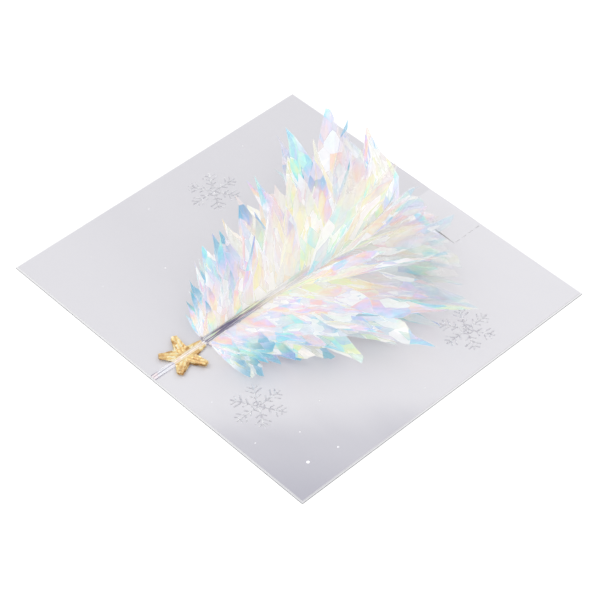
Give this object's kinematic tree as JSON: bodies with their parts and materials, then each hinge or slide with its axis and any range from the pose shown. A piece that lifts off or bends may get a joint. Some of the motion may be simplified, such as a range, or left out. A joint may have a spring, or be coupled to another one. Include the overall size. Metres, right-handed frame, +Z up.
{
  "type": "pop up card",
  "caption": "Open greeting card of silver-white board with a fan-out fir tree of iridescent film leaves and a gold foil star along its fold.",
  "frame": {"origin": "centre of the bounding box at its bottom: the middle of the open card's underside", "axes": "+X across the fold over both panels, +Y along the fold towards the star, +Z up off the panels"},
  "size_m": [0.23, 0.21, 0.0753],
  "materials": {
    "cover_board": "coated board, satin",
    "liner_board": "pearl laminated board, soft gloss",
    "silver_foil": "silver foil, gloss",
    "iridescent_film": "iridescent film, high gloss, partly clear",
    "gold_foil": "gold foil, crinkled, gloss"
  },
  "bodies": {
    "root": {"card_cover": "cover_board", "card_liner": "liner_board", "seam_strip": "silver_foil", "film_sheet_1": "iridescent_film", "film_sheet_2": "iridescent_film", "film_sheet_3": "iridescent_film", "film_sheet_4": "iridescent_film", "film_sheet_5": "iridescent_film", "film_sheet_6": "iridescent_film", "film_sheet_7": "iridescent_film", "film_sheet_8": "iridescent_film", "star_sheet_1": "gold_foil", "star_sheet_2": "gold_foil", "star_sheet_3": "gold_foil"}
  },
  "joints": []
}
